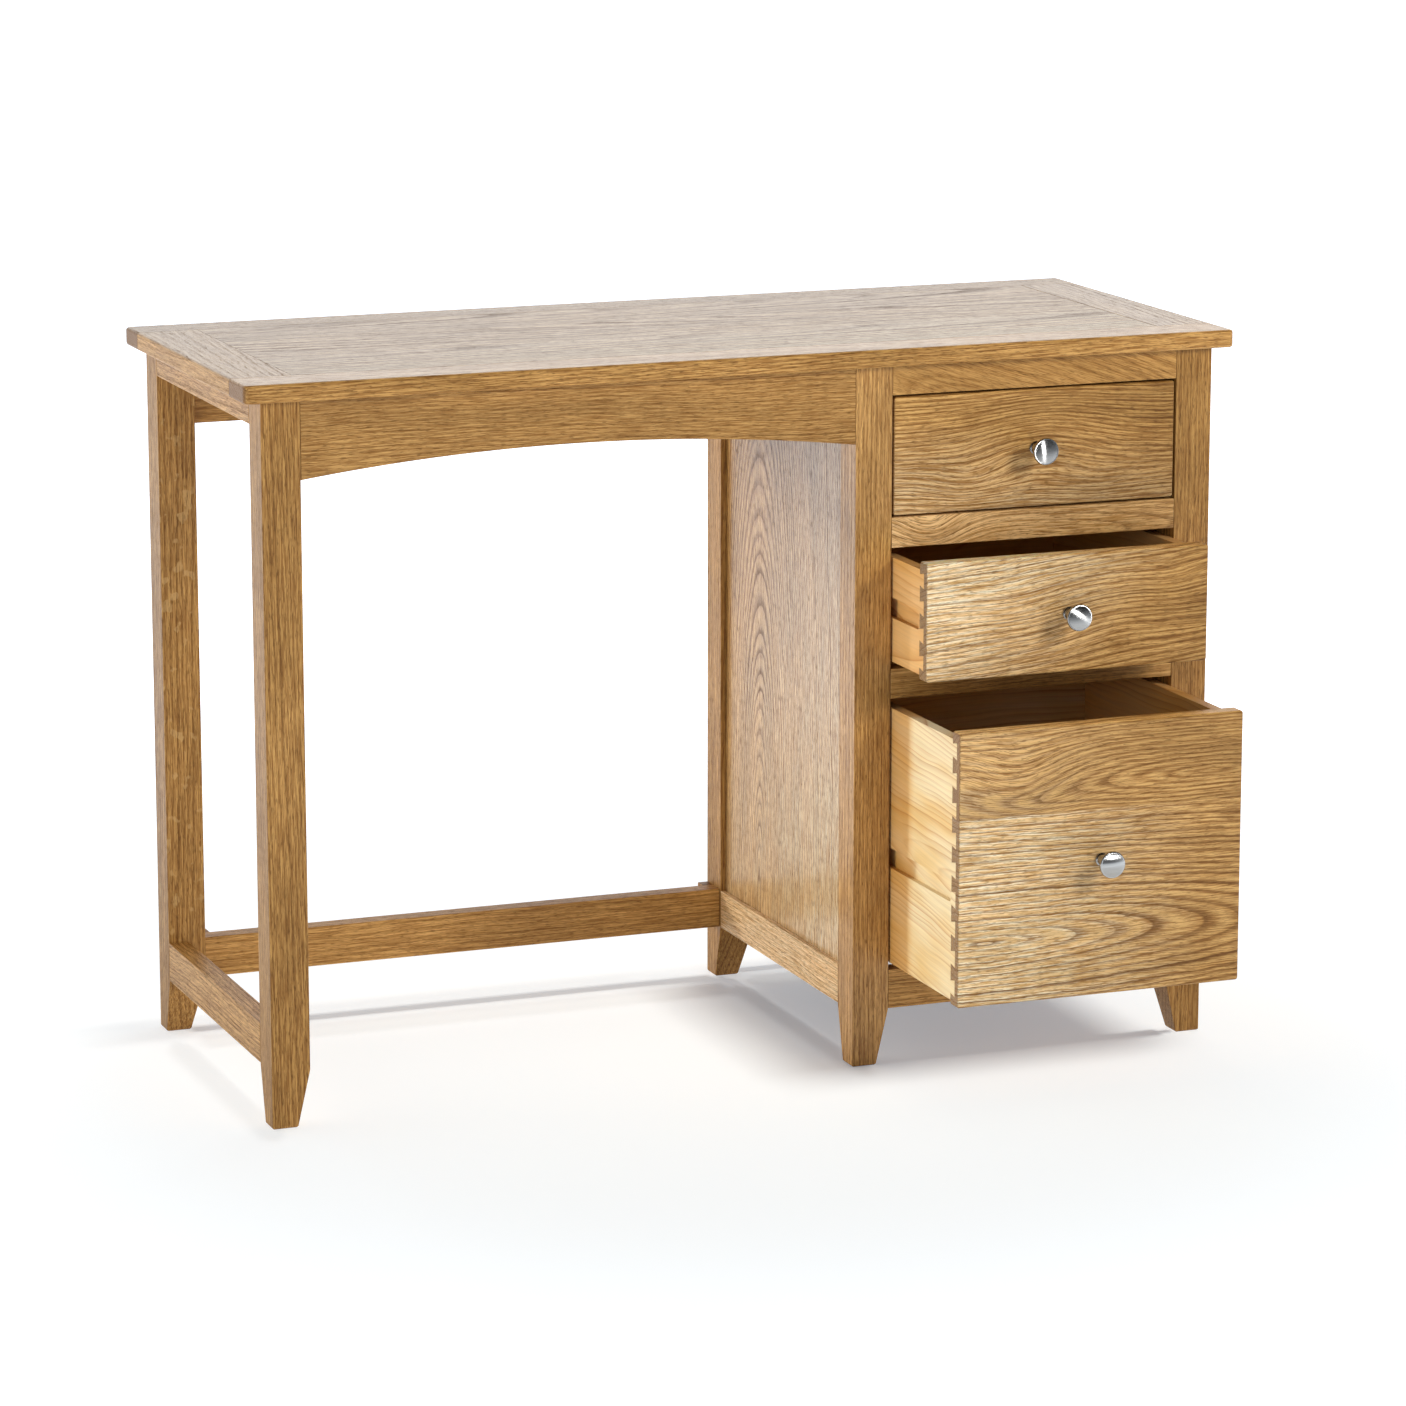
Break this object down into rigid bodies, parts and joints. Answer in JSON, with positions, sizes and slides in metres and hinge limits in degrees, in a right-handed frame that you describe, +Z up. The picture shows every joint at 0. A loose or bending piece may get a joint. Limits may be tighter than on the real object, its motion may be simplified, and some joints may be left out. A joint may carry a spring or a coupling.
{
  "type": "writing desk with drawers",
  "caption": "Oak writing desk: framed rectangular top, open end frame, arched apron over a kneehole, and a pedestal with inset dovetailed drawers and round metal knobs.",
  "frame": {"origin": "on the floor, below the middle of the desk's bounding box as it stands here, with the middle and lower drawers part open", "axes": "+X along the top to the right as seen from the chair, -Y towards the chair and the way the drawers open, +Z up"},
  "size_m": [1.09, 0.6412, 0.77],
  "materials": {
    "oak": "satin varnished oak, straight to cathedral grain",
    "pine": "lightly sealed pine",
    "board": "veneered board",
    "knob": "satin nickel",
    "screw": "zinc plated"
  },
  "bodies": {
    "desk_frame": {"end_front_leg": "oak", "end_back_leg": "oak", "end_top_rail": "oak", "end_bottom_rail": "oak", "front_apron": "oak", "back_top_rail": "oak", "back_stretcher": "oak", "stretcher_block_left": "oak", "stretcher_block_right": "oak", "post_front_left": "oak", "post_front_right": "oak", "post_back_left": "oak", "post_back_right": "oak", "left_top_rail": "oak", "left_bottom_rail": "oak", "left_panel": "oak", "right_top_rail": "oak", "right_bottom_rail": "oak", "right_panel": "oak", "back_upper_rail": "oak", "back_lower_rail": "oak", "drawer_rail_top": "oak", "drawer_rail_upper": "oak", "drawer_rail_lower": "oak", "drawer_rail_bottom": "oak", "top_front_rail": "oak", "top_back_rail": "oak", "top_left_end": "oak", "top_right_end": "oak", "top_centre_panel": "oak", "back_panel": "board", "runner_1_left": "pine", "runner_1_right": "pine", "runner_2_left": "pine", "runner_2_right": "pine", "runner_3_left": "pine", "runner_3_right": "pine"},
    "drawer_1": {"drawer_1_front": "oak", "drawer_1_left_side": "pine", "drawer_1_right_side": "pine", "drawer_1_back": "pine", "drawer_1_bottom": "board", "drawer_1_knob": "knob", "drawer_1_knob_screw": "screw"},
    "drawer_2": {"drawer_2_front": "oak", "drawer_2_left_side": "pine", "drawer_2_right_side": "pine", "drawer_2_back": "pine", "drawer_2_bottom": "board", "drawer_2_knob": "knob", "drawer_2_knob_screw": "screw"},
    "drawer_3": {"drawer_3_front": "oak", "drawer_3_left_side": "pine", "drawer_3_right_side": "pine", "drawer_3_back": "pine", "drawer_3_bottom": "board", "drawer_3_knob": "knob", "drawer_3_knob_screw": "screw"}
  },
  "joints": [
    {"name": "drawer_1_slide", "type": "slide", "parent": "desk_frame", "child": "drawer_1", "axis": [0, -1, 0], "range_m": [0, 0.3]},
    {"name": "drawer_2_slide", "type": "slide", "parent": "desk_frame", "child": "drawer_2", "axis": [0, -1, 0], "range_m": [-0.088, 0.212]},
    {"name": "drawer_3_slide", "type": "slide", "parent": "desk_frame", "child": "drawer_3", "axis": [0, -1, 0], "range_m": [-0.176, 0.124]}
  ]
}
